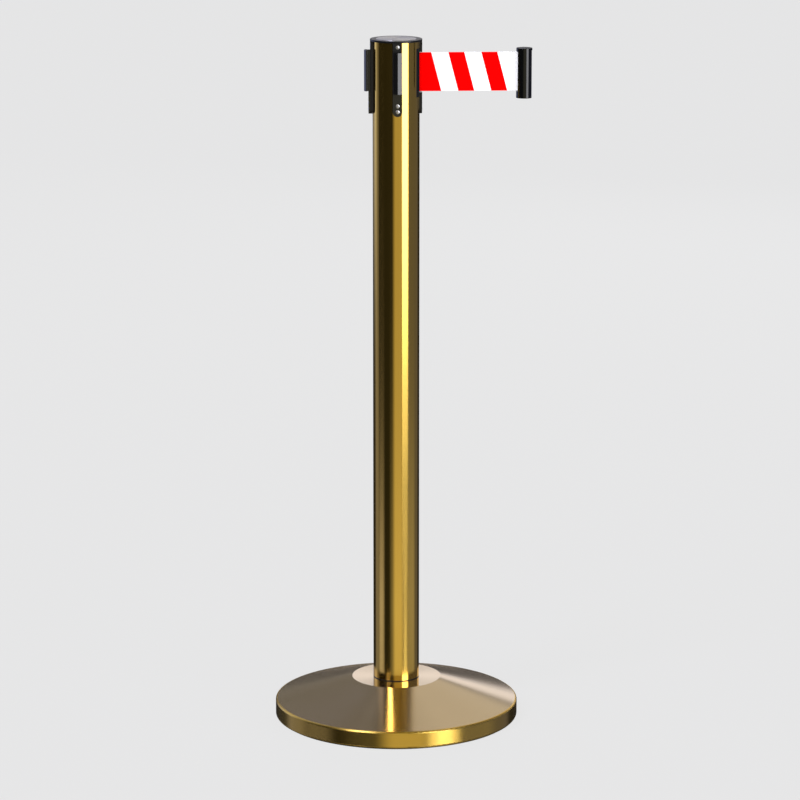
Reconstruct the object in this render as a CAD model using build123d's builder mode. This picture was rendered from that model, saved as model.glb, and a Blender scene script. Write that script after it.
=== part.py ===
from build123d import *
import math
import os

# A retractable belt stanchion, in millimetres. The origin is the middle of the floor pad's
# underside, +Z is up and the belt leaves the head along +X.

# ---- driving dimensions -------------------------------------------------------------------
HEIGHT = 900.0  # floor to the top of the cap disc
BASE_R = 160.0  # weighted base
PLATEAU_R = 58.3  # flat top of the base cover
PLATEAU_Z = 53.0
RIM_TOP_Z = 23.7  # where the cover's upright rim would meet its cone
SHEET = 1.2  # base cover's metal
TUBE_R = 30.15
TUBE_WALL = 1.5
BELT_WIDTH = 50.0
BELT_T = 0.5
BELT_Z = 857.0  # middle of the belt
BELT_LENGTH = 2000.0  # from fully wound in to fully drawn out
CAP_R = 33.5
CAP_T = 2.5
DISC_R = 26.0
STRIP_W = 12.0  # the four upright strips of the head
STRIP_R = 33.2  # their outer faces
MOUTH_W = 33.0  # the belt's outlet, a frame that lies flush in the tube
MOUTH_H = 62.0
MOUTH_R = 29.95
CLIP_X = 164.6  # belt end clip, at rest
CLIP_R = 10.3
CLIP_LOW = 822.6
CLIP_HIGH = 887.0
SIDES = {"front": -90, "left": 180, "back": 90}  # faces with a receiver
OUTLET = 0  # face that the belt leaves by

# ---- heights and radii that follow --------------------------------------------------------
CAP_TOP = HEIGHT - 0.3
CAP_LOW = CAP_TOP - CAP_T
LID_LOW = CAP_LOW - 3.0
BELT_LOW = BELT_Z - BELT_WIDTH / 2
BELT_HIGH = BELT_Z + BELT_WIDTH / 2
FLANGE_T = 1.5
FLANGE_LOW = BELT_LOW - 0.5 - FLANGE_T
FLANGE_HIGH = BELT_HIGH + 0.5
ROTOR_LOW = FLANGE_HIGH + FLANGE_T
STRIP_LOW = 803.5
MOUTH_LOW = BELT_Z - MOUTH_H / 2
EXIT_LOW = BELT_LOW - 1.0  # the outlet strip is open from here
EXIT_HIGH = BELT_HIGH + 1.0
FLOOR_TOP = STRIP_LOW + 3.0
LEDGE_Z = 826.0  # partition between spring and belt
PARTITION_T = 2.0
CASSETTE_R = TUBE_R - TUBE_WALL - 0.3
CHAMBER_R = CASSETTE_R - 1.65
SPRING_ROOM_R = CHAMBER_R - 0.8
PAD_T = 3.0
PAD_R = BASE_R - 4.5
PLUG_LIP = 1.0
AXLE_R = 3.0
HUB_R = 6.0
FLANGE_R = 21.0
ROLL_R = math.sqrt(HUB_R**2 + (BELT_LENGTH + 40) * BELT_T / math.pi)
RUNNING = 0.05  # radial clearance of a running fit
GUIDE_R = 2.5
GUIDE_PIN_R = 1.25
GUIDE_X = 23.0
GUIDE_Y = -(GUIDE_R + RUNNING + BELT_T / 2)
RAIL_LOW = 832.8  # receiver rail
RAIL_HIGH = 885.9
FOOT_R = 35.4
RAIL_NECK_R = 37.2
RAIL_RIDGE_R = 41.2
RAIL_W = 11.5
RAIL_EDGE = 1.8  # the roofed head's thickness at its edges
NECK_W = 4.4
SCREW_R = 1.4
HEAD_R = 2.5
DOME = 0.45  # how far a screw's head stands proud of its face
FOOT_SCREWS_Z = (809.7, 817.2)
TOP_SCREW_Z = 892.0
SCREW_TIP_R = CASSETTE_R + 0.3

UP = (Align.CENTER, Align.CENTER, Align.MIN)
DOWN = (Align.CENTER, Align.CENTER, Align.MAX)


# ---- shapes used more than once -----------------------------------------------------------
def rod(radius, low, high, at=(0, 0), mode=Mode.ADD):
    """An upright round bar, or hole, between two heights."""
    with Locations((*at, low)):
        Cylinder(radius, high - low, align=UP, mode=mode)


def ring(radius, bore, low, high, at=(0, 0)):
    """A round bar with a bore of its own."""
    rod(radius, low, high, at)
    rod(bore, low, high, at, Mode.SUBTRACT)


def polar(radius, angle):
    """A point in plan."""
    turn = math.radians(angle)
    return (radius * math.cos(turn), radius * math.sin(turn))


def facing(angle, distance, height=0.0):
    """The upright plane at a distance from the axis that looks outward; its own Y is up."""
    x, y = polar(1, angle)
    return Plane(origin=(x * distance, y * distance, height), x_dir=(-y, x, 0), z_dir=(x, y, 0))


def strip(angle, near, far, width, low, high, mode=Mode.ADD):
    """An upright strip with a half-round lower end, between two distances from the axis."""
    with BuildSketch(facing(angle, near)) as outline:
        with Locations((0, low + width / 2)):
            Circle(width / 2)
            Rectangle(width, high - low - width / 2, align=(Align.CENTER, Align.MIN))
    extrude(outline.sketch, amount=far - near, mode=mode)


def slab(near, far, width, low, high, mode=Mode.SUBTRACT):
    """An upright block on the belt's line, from x = near to x = far."""
    with Locations(((near + far) / 2, 0, low)):
        Box(far - near, width, high - low, align=UP, mode=mode)


def countersunk(at, top, head_r, shank_r, length, mode=Mode.ADD):
    """A countersunk screw, or its seat, with its head's face at height top."""
    head = head_r - shank_r
    with Locations((*at, top - head)):
        Cone(shank_r, head_r, head, align=UP, mode=mode)
    rod(shank_r, top - length, top - head, at, mode)


def sunk_screw(angle, seat, height, mode=Mode.ADD):
    """A countersunk screw that points at the axis, with its head's rim on a face; or its hole."""
    with Locations(facing(angle, seat, height)):
        Cylinder(SCREW_R, seat - SCREW_TIP_R, align=DOWN, mode=mode)
        Cone(SCREW_R, HEAD_R, HEAD_R - SCREW_R, align=DOWN, mode=mode)


def domed_screw(angle, seat, height):
    """The same screw with its low dome and its hexagon socket."""
    dome_r = (HEAD_R**2 + DOME**2) / (2 * DOME)
    rim = math.degrees(math.asin(1 - DOME / dome_r))
    sunk_screw(angle, seat, height)
    with Locations(facing(angle, seat, height)):
        Sphere(dome_r, arc_size1=rim, arc_size2=90, align=UP)
    with BuildSketch(facing(angle, seat + DOME, height)) as socket:
        RegularPolygon(1.0, 6)
    extrude(socket.sketch, amount=-1.2, mode=Mode.SUBTRACT)


# ---- base ---------------------------------------------------------------------------------
BOLT_R = 6.0
BOLT_FLAT = 9.5  # half the width across the head's flats
BOLT_SEAT = 22.0
BOLT_TOP = 74.0
WELL_R = 16.0  # recess under the weight for the bolt's head

with BuildPart() as floor_pad:
    ring(PAD_R, 30.0, 0, PAD_T)
    chamfer(floor_pad.edges().filter_by(GeomType.CIRCLE).group_by(Axis.Z)[0][-1], 0.8)

with BuildPart() as base_weight:
    rod(150.0, PAD_T, 14.0)
    rod(45.0, 14.0, PLATEAU_Z - SHEET)
    fillet(base_weight.edges().filter_by(GeomType.CIRCLE).group_by(Axis.Z)[1].sort_by(Edge.length)[0], 8.0)
    rod(WELL_R, PAD_T, BOLT_SEAT, mode=Mode.SUBTRACT)
    rod(BOLT_R + 0.5, BOLT_SEAT, PLATEAU_Z, mode=Mode.SUBTRACT)

with BuildPart() as base_cover:
    with BuildSketch(Plane.XZ):
        with BuildLine():
            FilletPolyline(
                (BASE_R - 4, 1.5 + SHEET / 2),
                (BASE_R - SHEET / 2, 1.5 + SHEET / 2),
                (BASE_R - SHEET / 2, RIM_TOP_Z - SHEET / 2),
                (PLATEAU_R, PLATEAU_Z - SHEET / 2),
                (BOLT_R + 0.5, PLATEAU_Z - SHEET / 2),
                radius=2.2,
            )
        trace(line_width=SHEET)
    revolve(axis=Axis.Z)

with BuildPart() as base_bolt:
    with BuildSketch(Plane.XY.offset(BOLT_SEAT - 12.5)):
        RegularPolygon(BOLT_FLAT, 6, major_radius=False)
    extrude(amount=7.5)
    rod(BOLT_R, BOLT_SEAT - 5, BOLT_TOP)
    chamfer(base_bolt.edges().filter_by(GeomType.CIRCLE).group_by(Axis.Z)[-1], 1.0)

with BuildPart() as base_spring_washer:
    ring(10.5, BOLT_R + 0.1, BOLT_SEAT - 5, BOLT_SEAT - 2.5)
    slab(BOLT_R - 1, 12.0, 1.5, BOLT_SEAT - 6, BOLT_SEAT)

with BuildPart() as base_washer:
    ring(12.0, BOLT_R + 0.4, BOLT_SEAT - 2.5, BOLT_SEAT)

# ---- post ---------------------------------------------------------------------------------
with BuildPart() as post_foot_plug:
    rod(TUBE_R, PLATEAU_Z, PLATEAU_Z + PLUG_LIP)
    rod(TUBE_R - TUBE_WALL, PLATEAU_Z + PLUG_LIP, BOLT_TOP + 6)
    chamfer(post_foot_plug.faces().sort_by(Axis.Z)[-1].edges(), 1.5)
    rod(BOLT_R, PLATEAU_Z, BOLT_TOP + 6, mode=Mode.SUBTRACT)

with BuildPart() as post_tube:
    ring(TUBE_R, TUBE_R - TUBE_WALL, PLATEAU_Z + PLUG_LIP, CAP_LOW)
    for angle in (OUTLET, *SIDES.values()):
        strip(angle, 20, 40, STRIP_W + 0.4, STRIP_LOW - 0.2, CAP_LOW, Mode.SUBTRACT)
    slab(20, 40, MOUTH_W + 0.4, MOUTH_LOW - 0.2, MOUTH_LOW + MOUTH_H + 0.2)

# ---- cassette -----------------------------------------------------------------------------
LID_R = CHAMBER_R + 0.7
BUSH_R = 5.0
BUSH_LIP_R = 7.0
BOSSES = [polar(24.6, angle) for angle in (60, 180, 300)]
BOSS_R = 2.4
CAP_SCREWS = [polar(15, angle) for angle in (0, 120, 240)]
EXIT_GAP = 3.0

with BuildPart() as cassette_body:
    rod(CASSETTE_R, STRIP_LOW, LID_LOW)
    rod(SPRING_ROOM_R, FLOOR_TOP, LEDGE_Z, mode=Mode.SUBTRACT)
    rod(CHAMBER_R, LEDGE_Z, LID_LOW, mode=Mode.SUBTRACT)
    for spot in BOSSES:
        rod(BOSS_R, LEDGE_Z, LID_LOW, spot)
    for angle in (OUTLET, *SIDES.values()):
        strip(angle, LID_R + 0.1, STRIP_R, STRIP_W, STRIP_LOW, CAP_LOW)
        outward = Axis((0, 0, 0), facing(angle, 0).z_dir)
        fillet(cassette_body.faces().sort_by(outward)[-1].edges(), 0.5)
        for height in (*FOOT_SCREWS_Z, TOP_SCREW_Z):
            sunk_screw(angle, STRIP_R, height, Mode.SUBTRACT)
    slab(CHAMBER_R + 1.2, STRIP_R + 1, STRIP_W + 2, EXIT_LOW, EXIT_HIGH)
    with BuildSketch(Plane.XY.offset(MOUTH_LOW)) as mouth:
        Circle(MOUTH_R)
        Circle(CHAMBER_R + 0.2, mode=Mode.SUBTRACT)
        Rectangle(MOUTH_R, MOUTH_W, align=(Align.MIN, Align.CENTER), mode=Mode.INTERSECT)
    extrude(mouth.sketch, amount=MOUTH_H)
    rod(BUSH_R, STRIP_LOW, FLOOR_TOP, mode=Mode.SUBTRACT)
    slab(GUIDE_X + 1, STRIP_R + 1, EXIT_GAP, EXIT_LOW, EXIT_HIGH)
    for spot in BOSSES:
        rod(1.1, LID_LOW - 9, LID_LOW, spot, Mode.SUBTRACT)

with BuildPart() as cassette_lid:
    rod(LID_R, LID_LOW, CAP_LOW)
    rod(BUSH_R, LID_LOW, CAP_LOW, mode=Mode.SUBTRACT)
    rod(GUIDE_PIN_R, LID_LOW, LID_LOW + 1.5, (GUIDE_X, GUIDE_Y), Mode.SUBTRACT)
    for spot in BOSSES:
        countersunk(spot, CAP_LOW, 2.3, 1.1, 3.0, Mode.SUBTRACT)
    for spot in CAP_SCREWS:
        rod(SCREW_R, LID_LOW, CAP_LOW, spot, Mode.SUBTRACT)

with BuildPart() as lid_screws:
    for spot in BOSSES:
        countersunk(spot, CAP_LOW, 2.3, 1.1, 11.5)

with BuildPart() as partition:
    rod(CHAMBER_R - 0.1, LEDGE_Z, LEDGE_Z + PARTITION_T)
    rod(4.6, LEDGE_Z, LEDGE_Z + PARTITION_T, mode=Mode.SUBTRACT)
    rod(GUIDE_PIN_R, LEDGE_Z, LEDGE_Z + PARTITION_T, (GUIDE_X, GUIDE_Y), Mode.SUBTRACT)
    for spot in BOSSES:
        rod(BOSS_R + 0.2, LEDGE_Z, LEDGE_Z + PARTITION_T, spot, Mode.SUBTRACT)

with BuildPart() as lower_bush:
    rod(BUSH_R, STRIP_LOW, FLOOR_TOP)
    rod(BUSH_LIP_R, FLOOR_TOP, FLOOR_TOP + 1)
    rod(AXLE_R + RUNNING, STRIP_LOW, FLOOR_TOP + 1, mode=Mode.SUBTRACT)

with BuildPart() as upper_bush:
    rod(BUSH_R, LID_LOW, CAP_LOW)
    rod(BUSH_LIP_R, LID_LOW - 1, LID_LOW)
    rod(AXLE_R + RUNNING, LID_LOW - 1, CAP_LOW, mode=Mode.SUBTRACT)

with BuildPart() as guide_pin:
    rod(GUIDE_PIN_R, LEDGE_Z, LID_LOW + 1.5, (GUIDE_X, GUIDE_Y))
    rod(GUIDE_PIN_R + 0.5, LEDGE_Z + PARTITION_T, BELT_LOW + 0.3, (GUIDE_X, GUIDE_Y))

with BuildPart() as guide_roller:
    ring(GUIDE_R, GUIDE_PIN_R + RUNNING, BELT_LOW + 0.5, BELT_HIGH - 0.5, (GUIDE_X, GUIDE_Y))

# ---- spring: a flat strip wound from the arbor out to the spring room's wall ----------------
ARBOR_R = 4.2
SPRING_T = 0.3
SPRING_TURNS = 17
SPRING_STEP = (SPRING_ROOM_R - ARBOR_R - 1.0) / SPRING_TURNS / 2  # growth in half a turn

with BuildPart() as power_spring:
    with BuildSketch(Plane.XY.offset(FLOOR_TOP + 1.5)):
        with BuildLine():
            for half in range(2 * SPRING_TURNS):
                centre = (SPRING_STEP / 2 if half % 2 else -SPRING_STEP / 2, 0)
                radius = ARBOR_R + 0.6 + SPRING_STEP * (half + 0.5)
                CenterArc(centre, radius, 180 * (half % 2), 180)
        trace(line_width=SPRING_T)
    extrude(amount=LEDGE_Z - FLOOR_TOP - 3)

# ---- spool --------------------------------------------------------------------------------
BRAKE_PIN_R = 1.25
BRAKE_PIN_AT = 14.0
BRAKE_PIN_ANGLE = 20
SHOE_LOW = ROTOR_LOW + 2.2
SHOE_HIGH = SHOE_LOW + 5.0
SHOE_R = 18.2
SHOE_INNER_R = 10.0
DRUM_R = 19.4
CLIP_GROOVE_Z = STRIP_LOW - 1.1

with BuildPart() as spool_axle:
    rod(AXLE_R, STRIP_LOW - 2.5, CAP_LOW - 1.5)
    chamfer(spool_axle.edges().filter_by(GeomType.CIRCLE), 0.5)
    with BuildSketch(Plane.XY.offset(CLIP_GROOVE_Z)):
        Circle(AXLE_R)
        Circle(AXLE_R - 0.5, mode=Mode.SUBTRACT)
    extrude(amount=0.8, mode=Mode.SUBTRACT)

with BuildPart() as axle_clip:
    ring(AXLE_R + 2.5, AXLE_R - 0.5, CLIP_GROOVE_Z, CLIP_GROOVE_Z + 0.8)
    slab(0, AXLE_R + 3, 4.0, CLIP_GROOVE_Z, CLIP_GROOVE_Z + 0.8)

with BuildPart() as spool_hub:
    rod(ARBOR_R, FLOOR_TOP + 1.1, FLANGE_LOW)
    rod(FLANGE_R, FLANGE_LOW, FLANGE_LOW + FLANGE_T)
    rod(HUB_R, FLANGE_LOW + FLANGE_T, FLANGE_HIGH)
    rod(AXLE_R, FLOOR_TOP, FLANGE_HIGH, mode=Mode.SUBTRACT)

with BuildPart() as spool_flange:
    ring(FLANGE_R, AXLE_R, FLANGE_HIGH, ROTOR_LOW)

with BuildPart() as belt_roll:
    ring(ROLL_R, HUB_R, BELT_LOW, BELT_HIGH)

with BuildPart() as brake_rotor:
    rod(17.0, ROTOR_LOW, ROTOR_LOW + 2)
    rod(7.0, ROTOR_LOW + 2, LID_LOW - 1.3)
    rod(AXLE_R, ROTOR_LOW, LID_LOW, mode=Mode.SUBTRACT)
    for turn in (0, 180):
        rod(BRAKE_PIN_R, ROTOR_LOW, SHOE_LOW, polar(BRAKE_PIN_AT, BRAKE_PIN_ANGLE + turn), Mode.SUBTRACT)

with BuildPart() as brake_pins:
    for turn in (0, 180):
        rod(BRAKE_PIN_R, ROTOR_LOW, SHOE_HIGH + 0.6, polar(BRAKE_PIN_AT, BRAKE_PIN_ANGLE + turn))

brake_shoes = {}
for name, turn in {"brake_shoe_a": 0, "brake_shoe_b": 180}.items():
    with BuildPart() as brake_shoe:
        with BuildSketch(Plane.XY.offset(SHOE_LOW)):
            with BuildLine():
                outer = CenterArc((0, 0), SHOE_R, 10 + turn, 140)
                inner = CenterArc((0, 0), SHOE_INNER_R, 10 + turn, 140)
                Line(outer @ 0, inner @ 0)
                Line(outer @ 1, inner @ 1)
            make_face()
            with Locations(polar(BRAKE_PIN_AT, BRAKE_PIN_ANGLE + turn)):
                Circle(BRAKE_PIN_R + RUNNING, mode=Mode.SUBTRACT)
        extrude(amount=SHOE_HIGH - SHOE_LOW)
        fillet(brake_shoe.edges().filter_by(Axis.Z), 1.0)
    brake_shoes[name] = brake_shoe

with BuildPart() as brake_drum:
    ring(DRUM_R + 1.6, DRUM_R, SHOE_LOW + 0.6, LID_LOW)

# ---- cap ----------------------------------------------------------------------------------
with BuildPart() as top_cap:
    rod(CAP_R, CAP_LOW, CAP_TOP)
    fillet(top_cap.faces().sort_by(Axis.Z)[-1].edges(), 0.4)
    chamfer(top_cap.faces().sort_by(Axis.Z)[0].edges(), 0.3)
    rod(DISC_R + 0.1, CAP_LOW + 2, CAP_TOP, mode=Mode.SUBTRACT)
    for spot in CAP_SCREWS:
        countersunk(spot, CAP_LOW + 2, 2.8, SCREW_R, 2.0, Mode.SUBTRACT)

with BuildPart() as cap_screws:
    for spot in CAP_SCREWS:
        countersunk(spot, CAP_LOW + 2, 2.8, SCREW_R, 4.8)

with BuildPart() as cap_disc:
    rod(DISC_R, CAP_LOW + 2, HEIGHT)
    fillet(cap_disc.faces().sort_by(Axis.Z)[-1].edges(), 0.25)

# ---- receivers: a roofed T-rail over a screwed foot ------------------------------------------
receivers = {}
for side, angle in SIDES.items():
    with BuildPart() as receiver:
        strip(angle, STRIP_R, FOOT_R, STRIP_W, STRIP_LOW, RAIL_LOW)
        fillet(receiver.faces().sort_by(SortBy.DISTANCE)[-1].edges(), 0.5)
        along = (*polar(1, angle), 0)
        with BuildSketch(Plane(origin=(0, 0, RAIL_LOW), x_dir=along, z_dir=(0, 0, 1))) as rail:
            with BuildLine():
                Polyline(
                    (STRIP_R, -NECK_W / 2),
                    (RAIL_NECK_R, -NECK_W / 2),
                    (RAIL_NECK_R, -RAIL_W / 2),
                    (RAIL_NECK_R + RAIL_EDGE, -RAIL_W / 2),
                    (RAIL_RIDGE_R, 0),
                    (RAIL_NECK_R + RAIL_EDGE, RAIL_W / 2),
                    (RAIL_NECK_R, RAIL_W / 2),
                    (RAIL_NECK_R, NECK_W / 2),
                    (STRIP_R, NECK_W / 2),
                    close=True,
                )
            make_face()
            fillet(rail.vertices().filter_by_position(Axis.X, RAIL_NECK_R, RAIL_RIDGE_R), 0.35)
        extrude(amount=RAIL_HIGH - RAIL_LOW)
        chamfer(receiver.faces().sort_by(Axis.Z)[-1].edges(), 0.3)
        for height in FOOT_SCREWS_Z:
            sunk_screw(angle, FOOT_R, height, Mode.SUBTRACT)
    receivers[f"receiver_{side}"] = receiver

with BuildPart() as strip_screws:
    for angle in (OUTLET, *SIDES.values()):
        domed_screw(angle, STRIP_R, TOP_SCREW_Z)
    for height in FOOT_SCREWS_Z:
        domed_screw(OUTLET, STRIP_R, height)

with BuildPart() as receiver_screws:
    for angle in SIDES.values():
        for height in FOOT_SCREWS_Z:
            domed_screw(angle, FOOT_R, height)

# ---- belt end clip ------------------------------------------------------------------------
CLIP_CAP_LOW = CLIP_HIGH - 3.0
NOTCH_X = CLIP_X - 8.4
CLIP_PIN_X = CLIP_X - 5.2
CLIP_PIN_R = 1.5
LOOP_R = 2.7
MATING_X = CLIP_X + 9.3  # the flat that meets a post
LIP_T = 3.8
MOUTH_W = 4.8
SLOT_W = 12.4
SLOT_DEEP = 4.6
WINDOW = (BELT_LOW - 1.0, BELT_HIGH + 0.6)  # heights of the gap round the belt's end

with BuildPart() as clip_body:
    rod(CLIP_R, CLIP_LOW, CLIP_CAP_LOW, (CLIP_X, 0))
    fillet(clip_body.faces().sort_by(Axis.Z)[0].edges(), 0.5)
    slab(NOTCH_X - 10, NOTCH_X, 2 * CLIP_R, *WINDOW)
    slab(NOTCH_X - 1, CLIP_PIN_X, 2.0, *WINDOW)
    rod(LOOP_R, *WINDOW, (CLIP_PIN_X, 0), Mode.SUBTRACT)
    rod(CLIP_PIN_R, CLIP_LOW + 2, CLIP_CAP_LOW, (CLIP_PIN_X, 0), Mode.SUBTRACT)
    slab(MATING_X, MATING_X + 5, 2 * CLIP_R, CLIP_LOW, CLIP_CAP_LOW)
    slab(MATING_X - LIP_T, MATING_X + 1, MOUTH_W, CLIP_LOW, CLIP_CAP_LOW)
    slab(MATING_X - LIP_T - SLOT_DEEP, MATING_X - LIP_T, SLOT_W, CLIP_LOW, CLIP_CAP_LOW)

with BuildPart() as clip_cap:
    rod(CLIP_R, CLIP_CAP_LOW, CLIP_HIGH, (CLIP_X, 0))
    fillet(clip_cap.faces().sort_by(Axis.Z)[-1].edges(), 0.5)
    rod(CLIP_PIN_R, CLIP_CAP_LOW, CLIP_CAP_LOW + 1.5, (CLIP_PIN_X, 0), Mode.SUBTRACT)

with BuildPart() as clip_pin:
    rod(CLIP_PIN_R, CLIP_LOW + 2, CLIP_CAP_LOW + 1.5, (CLIP_PIN_X, 0))

# ---- belt outside the roll: off its last turn, round the guide roller and out to the clip ----
LAST_TURN_R = ROLL_R + 0.3 + BELT_T / 2
ROUND_GUIDE_R = GUIDE_R + RUNNING + BELT_T / 2
GUIDE_FAR = math.hypot(GUIDE_X, GUIDE_Y)
LEAVES_AT = math.degrees(
    math.atan2(GUIDE_Y, GUIDE_X) - math.acos((LAST_TURN_R + ROUND_GUIDE_R) / GUIDE_FAR)
)

with BuildPart() as belt_run:
    with BuildSketch(Plane.XY.offset(BELT_LOW)):
        with BuildLine():
            last_turn = CenterArc((0, 0), LAST_TURN_R, LEAVES_AT - 60, 60)
            round_guide = CenterArc(
                (GUIDE_X, GUIDE_Y), ROUND_GUIDE_R, LEAVES_AT + 180, -90 - LEAVES_AT
            )
            Line(last_turn @ 1, round_guide @ 0)
            Line(round_guide @ 1, (CLIP_PIN_X - CLIP_PIN_R, 0))
        trace(line_width=BELT_T)
        with Locations((CLIP_PIN_X, 0)):
            Circle(CLIP_PIN_R + BELT_T)
            Circle(CLIP_PIN_R, mode=Mode.SUBTRACT)
    extrude(amount=BELT_WIDTH)

# ---- one file for each piece --------------------------------------------------------------
pieces = {
    "floor_pad": floor_pad,
    "base_weight": base_weight,
    "base_cover": base_cover,
    "base_bolt": base_bolt,
    "base_spring_washer": base_spring_washer,
    "base_washer": base_washer,
    "post_foot_plug": post_foot_plug,
    "post_tube": post_tube,
    "cassette_body": cassette_body,
    "cassette_lid": cassette_lid,
    "lid_screws": lid_screws,
    "partition": partition,
    "lower_bush": lower_bush,
    "upper_bush": upper_bush,
    "guide_pin": guide_pin,
    "guide_roller": guide_roller,
    "power_spring": power_spring,
    "spool_axle": spool_axle,
    "axle_clip": axle_clip,
    "spool_hub": spool_hub,
    "spool_flange": spool_flange,
    "belt_roll": belt_roll,
    "brake_rotor": brake_rotor,
    "brake_pins": brake_pins,
    **brake_shoes,
    "brake_drum": brake_drum,
    "top_cap": top_cap,
    "cap_screws": cap_screws,
    "cap_disc": cap_disc,
    **receivers,
    "strip_screws": strip_screws,
    "receiver_screws": receiver_screws,
    "clip_body": clip_body,
    "clip_cap": clip_cap,
    "clip_pin": clip_pin,
    "belt_run": belt_run,
}
os.makedirs("parts", exist_ok=True)
for label, piece in pieces.items():
    piece.part.label = label
    export_step(piece.part, f"parts/{label}.step")
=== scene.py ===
import math

import bmesh
import bpy
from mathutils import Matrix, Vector


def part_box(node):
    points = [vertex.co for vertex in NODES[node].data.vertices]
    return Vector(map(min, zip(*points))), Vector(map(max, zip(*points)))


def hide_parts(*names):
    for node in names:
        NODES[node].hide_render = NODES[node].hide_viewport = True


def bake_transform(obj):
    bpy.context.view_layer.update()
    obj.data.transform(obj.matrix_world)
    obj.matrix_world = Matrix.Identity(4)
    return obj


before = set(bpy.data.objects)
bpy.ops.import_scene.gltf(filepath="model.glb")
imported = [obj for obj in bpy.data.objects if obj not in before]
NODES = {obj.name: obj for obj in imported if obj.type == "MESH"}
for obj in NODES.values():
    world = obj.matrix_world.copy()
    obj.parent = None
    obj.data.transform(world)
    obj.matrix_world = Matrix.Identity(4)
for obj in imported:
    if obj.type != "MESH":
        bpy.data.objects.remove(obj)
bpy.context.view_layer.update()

MM = 0.001


# ---- places taken from the frame -----------------------------------------------------------
def centre(node):
    """The middle of a CAD node's box."""
    low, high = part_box(node)
    return (Vector(low) + Vector(high)) / 2


BELT_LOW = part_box("belt_run")[0][2]
BELT_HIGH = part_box("belt_run")[1][2]
GUIDE = centre("guide_roller")
CLIP_PIN = centre("clip_pin")
CLIP_PIN_R = (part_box("clip_pin")[1][0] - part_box("clip_pin")[0][0]) / 2
BASE_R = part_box("base_cover")[1][0]
BASE_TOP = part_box("base_cover")[1][2]
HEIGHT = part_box("cap_disc")[1][2]


# ---- shader building -----------------------------------------------------------------------
class Nodes:
    """A node tree with short calls. A value given to a call is a number, a tuple or an output socket."""

    def __init__(self, tree):
        self.tree = tree
        tree.nodes.clear()

    def add(self, kind, inputs=None, **settings):
        node = self.tree.nodes.new(kind)
        for key, value in settings.items():
            setattr(node, key, value)
        for key, value in (inputs or {}).items():
            self.put(node.inputs[key], value)
        return node

    def put(self, socket, value):
        if isinstance(value, bpy.types.NodeSocket):
            self.tree.links.new(value, socket)
        elif socket.type == "RGBA" and len(value) == 3:
            socket.default_value = (*value, 1)
        else:
            socket.default_value = value

    def math(self, operation, a, b=0.0, c=0.0):
        return self.add("ShaderNodeMath", {0: a, 1: b, 2: c}, operation=operation).outputs[0]

    def vector(self, operation, a, b=(0, 0, 0)):
        node = self.add("ShaderNodeVectorMath", {0: a, 1: b}, operation=operation)
        return node.outputs["Value" if operation in ("DOT_PRODUCT", "LENGTH") else "Vector"]

    def scaled(self, a, scale):
        node = self.add("ShaderNodeVectorMath", {0: a, "Scale": scale}, operation="SCALE")
        return node.outputs["Vector"]

    def fade(self, value, low, high, to_low=0.0, to_high=1.0):
        """A smooth step from to_low, at low, to to_high, at high."""
        inputs = {"Value": value, "From Min": low, "From Max": high, "To Min": to_low, "To Max": to_high}
        node = self.add("ShaderNodeMapRange", inputs, interpolation_type="SMOOTHSTEP")
        return node.outputs["Result"]

    def spread(self, value, low, high):
        """A noise value moved to the range low to high."""
        node = self.add("ShaderNodeMapRange", {"Value": value, "To Min": low, "To Max": high})
        return node.outputs["Result"]

    def blend(self, amount, a, b):
        """Colour a at amount 0 and b at amount 1."""
        node = self.add("ShaderNodeMix", data_type="RGBA")
        for socket, value in ((node.inputs[0], amount), (node.inputs[6], a), (node.inputs[7], b)):
            self.put(socket, value)
        return node.outputs[2]

    def noise(self, vector, scale, detail):
        inputs = {"Vector": vector, "Scale": scale, "Detail": detail, "Roughness": 0.55}
        return self.add("ShaderNodeTexNoise", inputs).outputs["Fac"]

    def position(self):
        return self.add("ShaderNodeTexCoord").outputs["Object"]

    def parts(self, vector):
        return self.add("ShaderNodeSeparateXYZ", {0: vector}).outputs

    def join(self, x, y, z):
        return self.add("ShaderNodeCombineXYZ", {0: x, 1: y, 2: z}).outputs[0]

    def bump(self, height, depth, strength):
        """The normal of a bump of that depth in metres."""
        inputs = {"Height": height, "Distance": depth, "Strength": strength}
        return self.add("ShaderNodeBump", inputs).outputs["Normal"]


def material(name):
    """A new material and its nodes."""
    made = bpy.data.materials.new(name)
    made.use_nodes = True
    return made, Nodes(made.node_tree)


def surface(nodes, **inputs):
    """The material's shader: a Principled BSDF with these inputs, by their names with _ for a space."""
    named = {key.replace("_", " "): value for key, value in inputs.items()}
    shader = nodes.add("ShaderNodeBsdfPrincipled", named)
    nodes.add("ShaderNodeOutputMaterial", {"Surface": shader.outputs["BSDF"]})


def brushed(nodes, **inputs):
    """The shader of a metal whose fine lines run round the post."""
    tangent = nodes.add("ShaderNodeTangent", direction_type="RADIAL", axis="Z").outputs[0]
    surface(nodes, Metallic=1.0, Anisotropic_Rotation=0.25, Tangent=tangent, **inputs)


def round_the_post(nodes):
    """(angle round the post, radius, height) of a point, for turned and brushed finishes."""
    x, y, z = nodes.parts(nodes.position())
    angle = nodes.math("ARCTAN2", y, x)
    radius = nodes.vector("LENGTH", nodes.join(x, y, 0.0))
    return angle, radius, z


def fine_lines(nodes, angle, drift, y, z):
    """Noise drawn out round the post: it drifts slowly with the angle and changes fast with y or z."""
    return nodes.noise(nodes.join(nodes.math("MULTIPLY", angle, drift), y, z), 3.0, 4.0)


# ---- materials -----------------------------------------------------------------------------
GOLD = (0.86, 0.56, 0.11)
WARM_GOLD = (0.84, 0.53, 0.10)
CHAMPAGNE = (0.70, 0.56, 0.37)
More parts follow.
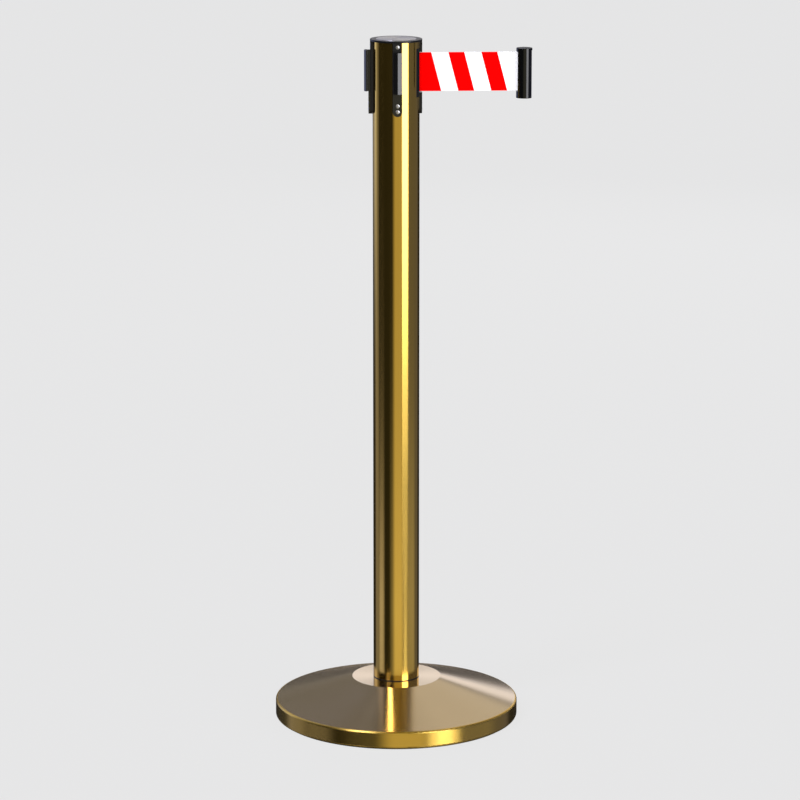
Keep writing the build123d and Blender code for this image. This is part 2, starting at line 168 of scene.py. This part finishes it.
# How far the noise of the fine lines is squeezed, per metre of height or of radius.
TUBE_LINES = 900.0
BASE_LINES = 1400.0
DISC_LINES = 1800.0
PLATEAU_ROUGH = 0.13
RIM_ROUGH = 0.19
WORN_ROUGH = 0.36  # the rim's rounded edges
RIM_WORN_ABOVE = 22.2 * MM  # the rim is fully worn from here up
RIM_WORN_BELOW = 3.6 * MM  # and from here down
WORN_FADE = 1.0 * MM


def gold_tube():
    """Polished gold tube: fine scratches that run round it, and a few soft smudges."""
    made, n = material("gold_tube")
    angle, _, z = round_the_post(n)
    lines = fine_lines(n, angle, 0.6, 0.0, n.math("MULTIPLY", z, TUBE_LINES))
    smudges = n.noise(n.position(), 9.0, 2.0)
    rough = n.math("ADD", n.spread(lines, 0.07, 0.12), n.spread(smudges, 0.0, 0.03))
    tint = n.blend(n.spread(smudges, 0.0, 0.35), GOLD, WARM_GOLD)
    brushed(n, Base_Color=tint, Roughness=rough, Anisotropic=0.7, Normal=n.bump(lines, 0.01 * MM, 0.3))
    return made


def gold_base():
    """The base cover: a polished plateau and rim, and a satin cone turned in fine rings."""
    made, n = material("gold_base")
    angle, radius, z = round_the_post(n)
    rim = n.fade(radius, BASE_R - 3.2 * MM, BASE_R - 1.6 * MM)
    plateau = n.fade(z, BASE_TOP - 0.15 * MM, BASE_TOP - 0.05 * MM)
    rings = fine_lines(n, angle, 0.8, n.math("MULTIPLY", radius, BASE_LINES), 0.0)
    smudges = n.noise(n.position(), 14.0, 2.0)
    satin = n.math("ADD", n.spread(rings, 0.15, 0.24), n.spread(smudges, -0.02, 0.04))
    inside = n.math("MULTIPLY_ADD", plateau, n.math("SUBTRACT", PLATEAU_ROUGH, satin), satin)
    top_edge = n.fade(z, RIM_WORN_ABOVE - WORN_FADE, RIM_WORN_ABOVE, RIM_ROUGH, WORN_ROUGH)
    foot_edge = n.fade(z, RIM_WORN_BELOW, RIM_WORN_BELOW + WORN_FADE, WORN_ROUGH, RIM_ROUGH)
    outside = n.math("MAXIMUM", top_edge, foot_edge)
    rough = n.math("MULTIPLY_ADD", rim, n.math("SUBTRACT", outside, inside), inside)
    brushed(n, Base_Color=n.blend(rim, CHAMPAGNE, GOLD), Roughness=rough, Anisotropic=0.9,
            Normal=n.bump(rings, 0.02 * MM, 0.35))
    return made


def spun_disc():
    """The cap's disc: anodised aluminium with a fine spun finish."""
    made, n = material("spun_disc")
    angle, radius, _ = round_the_post(n)
    rings = fine_lines(n, angle, 0.5, n.math("MULTIPLY", radius, DISC_LINES), 0.0)
    brushed(n, Base_Color=(0.60, 0.59, 0.60), Roughness=n.spread(rings, 0.28, 0.42), Anisotropic=0.6,
            Normal=n.bump(rings, 0.03 * MM, 0.4))
    return made


def moulded(name, colour, rough, grain=2200.0, depth=0.04 * MM, specular=0.35):
    """Moulded plastic or rubber with a fine spark-eroded grain and slightly worn edges."""
    made, n = material(name)
    skin = n.noise(n.position(), grain, 3.0)
    patches = n.noise(n.position(), 60.0, 2.0)
    soft = n.add("ShaderNodeBevel", {"Radius": 0.4 * MM}, samples=4).outputs[0]
    flat = n.add("ShaderNodeNewGeometry").outputs["Normal"]
    edge = n.fade(n.vector("DOT_PRODUCT", soft, flat), 0.985, 0.90)
    lighter = tuple(min(1.0, c * 1.5 + 0.006) for c in colour)
    tint = n.blend(n.math("MULTIPLY", edge, 0.5), colour, lighter)
    surface(n, Base_Color=tint, Roughness=n.math("ADD", rough, n.spread(patches, -0.05, 0.06)),
            Specular_IOR_Level=specular, Normal=n.bump(skin, depth, 0.5))
    return made


def metal(name, colour, rough, scale=300.0):
    """Plain machined metal with a little unevenness."""
    made, n = material(name)
    marks = n.noise(n.position(), scale, 4.0)
    surface(n, Base_Color=colour, Metallic=1.0, Roughness=n.spread(marks, rough - 0.06, rough + 0.08),
            Normal=n.bump(marks, 0.02 * MM, 0.3))
    return made


STRIPE_STEP = 42.4 * MM
STRIPE_RED = 20.6 / 42.4  # share of each step that is red
STRIPE_START = 66.7 * MM  # left edge of a red stripe at the belt's top
STRIPE_LEAN = 0.2625  # the stripes lean out as they go down
STRIPE_SOFT = 0.006  # share of each step in which a stripe's edge fades
YARN = 0.9 * MM


def webbing():
    """Woven polyester belt with red diagonal stripes on white."""
    made, n = material("webbing")
    x, y, z = n.parts(n.position())
    from_top = n.math("SUBTRACT", z, BELT_HIGH)
    along = n.math("MULTIPLY_ADD", from_top, STRIPE_LEAN, n.math("SUBTRACT", x, STRIPE_START))
    phase = n.math("FRACT", n.math("DIVIDE", along, STRIPE_STEP))
    into = n.fade(phase, 0.0, STRIPE_SOFT)
    out = n.fade(phase, STRIPE_RED, STRIPE_RED + STRIPE_SOFT, 1.0, 0.0)
    # The stripe before the first white gap runs on, all red, into the head.
    full_red = -STRIPE_STEP * (1 - STRIPE_SOFT)
    inner = n.fade(along, full_red, full_red + STRIPE_SOFT * STRIPE_STEP, 1.0, 0.0)
    hem = n.add("ShaderNodeAttribute", attribute_name="hem").outputs["Fac"]
    red = n.math("MAXIMUM", n.math("MULTIPLY", into, out), inner)
    red = n.math("MULTIPLY", red, n.math("SUBTRACT", 1.0, hem))
    fibres = n.noise(n.join(n.math("MULTIPLY", x, 0.25), y, z), 3500.0, 3.0)
    white = n.blend(fibres, (0.86, 0.86, 0.87), (0.97, 0.97, 0.97))
    dyed = n.blend(fibres, (0.88, 0.0, 0.0), (1.0, 0.0, 0.0))
    turn = 2 * math.pi / YARN
    warp = n.math("SINE", n.math("MULTIPLY", z, turn))
    weft = n.math("SINE", n.math("MULTIPLY_ADD", z, turn / 2, n.math("MULTIPLY", x, turn)))
    weave = n.math("ADD", n.math("MULTIPLY", warp, weft), n.math("MULTIPLY", fibres, 0.8))
    surface(n, Base_Color=n.blend(red, white, dyed), Roughness=0.85, Specular_IOR_Level=0.03,
            Sheen_Weight=0.02, Sheen_Roughness=0.4, Normal=n.bump(weave, 0.06 * MM, 0.5))
    return made


WEBBING = webbing()
FINISHES = [
    (gold_tube(), ["post_tube"]),
    (gold_base(), ["base_cover"]),
    (moulded("black_plastic", (0.005, 0.005, 0.006), 0.34),
     ["cassette_body", "cassette_lid", "partition", "spool_hub", "spool_flange", "brake_rotor"]),
    (moulded("cap_plastic", (0.004, 0.004, 0.005), 0.30), ["top_cap", "post_foot_plug"]),
    (moulded("rail_plastic", (0.003, 0.003, 0.003), 0.20, 900.0, 0.01 * MM, 0.7),
     ["receiver_front", "receiver_left", "receiver_back"]),
    (moulded("gloss_black", (0.002, 0.002, 0.002), 0.13, 900.0, 0.006 * MM, 0.45),
     ["clip_body", "clip_cap"]),
    (moulded("rubber", (0.02, 0.02, 0.02), 0.7), ["floor_pad"]),
    (moulded("lining", (0.10, 0.07, 0.05), 0.8), ["brake_shoe_a", "brake_shoe_b"]),
    (moulded("acetal", (0.80, 0.79, 0.74), 0.4), ["lower_bush", "upper_bush", "guide_roller"]),
    (metal("cast_iron", (0.16, 0.16, 0.16), 0.6, 120.0), ["base_weight"]),
    (metal("zinc", (0.62, 0.62, 0.58), 0.32), ["base_bolt", "base_spring_washer", "base_washer"]),
    (metal("steel", (0.58, 0.58, 0.60), 0.28),
     ["spool_axle", "axle_clip", "guide_pin", "brake_pins", "clip_pin", "brake_drum"]),
    (metal("blued_steel", (0.22, 0.25, 0.34), 0.30), ["power_spring"]),
    (metal("bright_screw", (0.62, 0.62, 0.64), 0.32, 900.0), ["strip_screws", "receiver_screws"]),
    (metal("dark_screw", (0.10, 0.10, 0.11), 0.35, 900.0), ["lid_screws", "cap_screws"]),
    (spun_disc(), ["cap_disc"]),
    (WEBBING, ["belt_roll", "belt_run"]),
]
for finish, names in FINISHES:
    for name in names:
        NODES[name].data.materials.clear()
        NODES[name].data.materials.append(finish)


# ---- new objects ---------------------------------------------------------------------------
def mesh_data(name, mesh):
    """A finished bmesh as mesh data."""
    data = bpy.data.meshes.new(name)
    mesh.to_mesh(data)
    mesh.free()
    return data


def placed(name, data):
    """A new object with that data, in the scene."""
    made = bpy.data.objects.new(name, data)
    bpy.context.scene.collection.objects.link(made)
    return made


# ---- belt ----------------------------------------------------------------------------------
BELT_T = 0.5 * MM
RIBS = 44  # warp ridges across the belt
RIB_STEPS = 4  # points to each ridge
RIB_DEPTH = 0.05 * MM
EDGE_CORD = 1.6 * MM  # the selvedge
EDGE_HALF = BELT_T * 0.68  # its half thickness: it is a little thicker than the web
HEM = 15.0 * MM  # plain white end that is sewn round the clip's pin
STRAIGHT_STEPS = 170
LOOP_STEPS = 25  # round the clip's pin
LOOP_START = 1.8  # how far before the pin the loop starts, in loop radii


def belt_section():
    """The belt's outline in (y, z), up one face and down the other."""
    steps = RIBS * RIB_STEPS
    width = BELT_HIGH - BELT_LOW
    face = []
    for i in range(steps + 1):
        z = BELT_LOW + width * i / steps
        from_edge = min(z - BELT_LOW, BELT_HIGH - z)
        half = BELT_T / 2 - RIB_DEPTH * (0.5 - 0.5 * math.cos(2 * math.pi * RIBS * i / steps))
        if from_edge < EDGE_CORD:
            half = EDGE_HALF * math.sqrt(max(0.0, 1 - (1 - from_edge / (EDGE_CORD / 2)) ** 2) + 0.02)
        face.append((half, z))
    return [(-half, z) for half, z in face] + [(half, z) for half, z in reversed(face)]


def belt_path():
    """(point, sideways direction) along the belt's middle line: out of the head and round the clip's pin."""
    loop_r = CLIP_PIN_R + BELT_T / 2
    start = Vector((GUIDE.x, 0, 0))
    straight_end = Vector((CLIP_PIN.x - loop_r * LOOP_START, 0, 0))
    path = [(start.lerp(straight_end, i / STRAIGHT_STEPS), Vector((0, 1, 0)))
            for i in range(STRAIGHT_STEPS + 1)]
    for i in range(1, LOOP_STEPS):
        turn = math.pi - 2 * math.pi * i / LOOP_STEPS
        out = Vector((math.cos(turn), math.sin(turn), 0))
        path.append((Vector((CLIP_PIN.x, 0, 0)) + out * loop_r, out))
    return path


def build_belt():
    """The striped belt outside the roll, as one woven strip."""
    mesh = bmesh.new()
    rows = []
    section = belt_section()
    for point, side in belt_path():
        rows.append([mesh.verts.new((point.x + side.x * y, point.y + side.y * y, z)) for y, z in section])
    for a, b in zip(rows, rows[1:]):
        for i in range(len(section)):
            j = (i + 1) % len(section)
            mesh.faces.new((a[i], a[j], b[j], b[i]))
    for row in (rows[0], rows[-1]):
        for i in range(len(section) // 2 - 1):
            j = len(section) - 1 - i
            mesh.faces.new((row[i], row[i + 1], row[j - 1], row[j]))
    bmesh.ops.recalc_face_normals(mesh, faces=mesh.faces)
    data = mesh_data("belt", mesh)
    for face in data.polygons:
        face.use_smooth = True
    hem = data.attributes.new("hem", "FLOAT", "POINT")
    for vertex, value in zip(data.vertices, hem.data):
        value.value = 1.0 if vertex.co.x > CLIP_PIN.x - HEM else 0.0
    belt = placed("belt", data)
    data.materials.append(WEBBING)
    belt.visible_glossy = False
    return belt


belt = build_belt()
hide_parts("belt_run")
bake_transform(belt)


# ---- floor, light and camera ---------------------------------------------------------------
PALE = 0.79  # the backdrop's brightness
AMBIENT = 0.022  # the dark studio's brightness between its panels
FLOOR_GLOW = 0.762  # with what it reflects, this makes the floor as pale as the backdrop
# Lengths in metres and angles in degrees, but the lens and the sensor in millimetres.
FLOOR_R = 60
LIGHT_FAR = 4.0
LIGHT_HIGH = 2.0
LIGHT_SIDE = 2.5
CAMERA_AZIMUTH = -3.0
CAMERA_FAR = 4.60
CAMERA_HIGH = 1.429
CAMERA_PITCH = -12.29
CAMERA_YAW = 0.062
LENS = 162.2
SENSOR = 36

# Studio panels that shiny parts mirror: azimuth from the camera's side towards +X, half width and fade
# at the sides, all in degrees, then lowest elevation and the fade below it, highest elevation and the
# fade above it, colour and brightness.
PANELS = [
    ("key", 46, 11, 8, -8, 5, 30, 5, (1.0, 1.0, 1.05), 5.5),
    ("key_foot", 48, 5, 6, -60, 9, -17.2, 0.6, (1.0, 1.0, 1.0), 1.4),
    ("front_fill", 10, 12, 20, -60, 9, 47, 9, (1.0, 0.91, 0.60), 0.45),
    # The two floor panels stand for a lit floor beyond the base's own shadow.
    ("floor_right", 38, 56, 20, -16.8, 0.8, -16.8, 5, (1.0, 1.0, 1.1), 0.36),
    ("floor_left", -80, 6, 18, -16.8, 1.0, -16.8, 4, (0.96, 1.0, 1.8), 0.80),
    ("right_side", 98, 30, 12, -60, 9, 60, 9, (1.0, 1.05, 1.8), 0.10),
    ("left_side", -112, 7, 14, -60, 9, 60, 9, (0.95, 1.0, 1.7), 0.20),
    ("left_high", -132, 14, 8, -7, 5, 60, 5, (0.95, 1.08, 1.8), 0.48),
    ("backdrop", 160, 22, 4, 10.5, 4, 17, 4, (1.0, 0.98, 1.06), 1.1),
    ("back_left", -152, 20, 9, 10, 9, 60, 9, (1.0, 0.95, 0.85), 0.16),
    ("ceiling_right", 158, 21, 5, 26, 9, 60, 9, (1.0, 0.93, 0.80), 0.66),
    ("top_left", -42, 7, 7, 35, 9, 60, 9, (1.0, 1.0, 1.3), 12.0),
]


def level(azimuth):
    """(x, y) of a step of 1 m to that azimuth, in degrees from the camera's side towards +X."""
    turn = math.radians(azimuth + CAMERA_AZIMUTH)
    return math.sin(turn), -math.cos(turn)


def build_floor():
    """A pale floor that keeps nearly one brightness, with a faint soft shadow."""
    made, n = material("floor")
    lit = n.add("ShaderNodeBsdfDiffuse", {"Color": (0.03, 0.03, 0.03)})
    glow = n.add("ShaderNodeEmission", {"Color": (1, 1, 1), "Strength": FLOOR_GLOW})
    both = n.add("ShaderNodeAddShader", {0: lit.outputs[0], 1: glow.outputs[0]})
    n.add("ShaderNodeOutputMaterial", {"Surface": both.outputs[0]})
    mesh = bmesh.new()
    bmesh.ops.create_circle(mesh, cap_ends=True, segments=96, radius=FLOOR_R)
    floor = placed("floor", mesh_data("floor", mesh))
    floor.data.materials.append(made)
    floor.visible_glossy = False


def build_world():
    """Pale to the camera, while surfaces mirror a dark studio with bright panels."""
    world = bpy.data.worlds.new("studio")
    bpy.context.scene.world = world
    world.use_nodes = True
    n = Nodes(world.node_tree)
    direction = n.add("ShaderNodeTexCoord").outputs["Generated"]
    flat = n.vector("NORMALIZE", n.vector("MULTIPLY", direction, (1, 1, 0)))
    height = n.math("MULTIPLY", n.math("ARCSINE", n.parts(direction)[2]), 180 / math.pi)
    total = n.join(AMBIENT, AMBIENT, AMBIENT)
    for _, azimuth, half, side, low, under, high, over, colour, strength in PANELS:
        away = n.vector("DOT_PRODUCT", flat, (*level(azimuth), 0))
        away = n.math("ARCCOSINE", n.math("MINIMUM", away, 1.0))
        across = n.fade(n.math("MULTIPLY", away, 180 / math.pi), half, half + side, 1.0, 0.0)
        rise = n.fade(height, low - under, low)
        fall = n.fade(height, high, high + over, 1.0, 0.0)
        glow = n.math("MULTIPLY", n.math("MULTIPLY", across, n.math("MULTIPLY", rise, fall)), strength)
        total = n.vector("ADD", total, n.scaled(colour, glow))
    studio = n.add("ShaderNodeBackground", {"Color": total, "Strength": 1.0})
    pale = n.add("ShaderNodeBackground", {"Color": (PALE, PALE, PALE), "Strength": 1.0})
    seen = n.add("ShaderNodeLightPath").outputs["Is Camera Ray"]
    mixed = n.add("ShaderNodeMixShader", {0: seen, 1: studio.outputs[0], 2: pale.outputs[0]})
    n.add("ShaderNodeOutputWorld", {"Surface": mixed.outputs[0]})


def soft_light(name, azimuth, watts):
    """A large square light that aims at the post's upper part and isn't mirrored by shiny parts."""
    data = bpy.data.lights.new(name, "AREA")
    data.size = LIGHT_SIDE
    data.energy = watts
    light = placed(name, data)
    x, y = level(azimuth)
    light.location = (x * LIGHT_FAR, y * LIGHT_FAR, LIGHT_HIGH)
    aim = Vector((0, 0, HEIGHT * 0.7)) - light.location
    light.rotation_euler = aim.to_track_quat("-Z", "Y").to_euler()
    light.visible_glossy = False
    light.visible_camera = False


def build_camera():
    """The photograph's camera, fitted to the tube's taper, the base's ellipses and the head."""
    data = bpy.data.cameras.new("camera")
    data.sensor_width = SENSOR
    data.lens = LENS
    camera = placed("camera", data)
    x, y = level(0)
    camera.location = (x * CAMERA_FAR, y * CAMERA_FAR, CAMERA_HIGH)
    camera.rotation_euler = (math.radians(90 + CAMERA_PITCH), 0, math.radians(CAMERA_AZIMUTH - CAMERA_YAW))
    bpy.context.scene.camera = camera


build_floor()
build_world()
soft_light("front_light", -12, 90)
soft_light("back_light", 165, 60)
build_camera()
bpy.context.scene.view_settings.view_transform = "Standard"
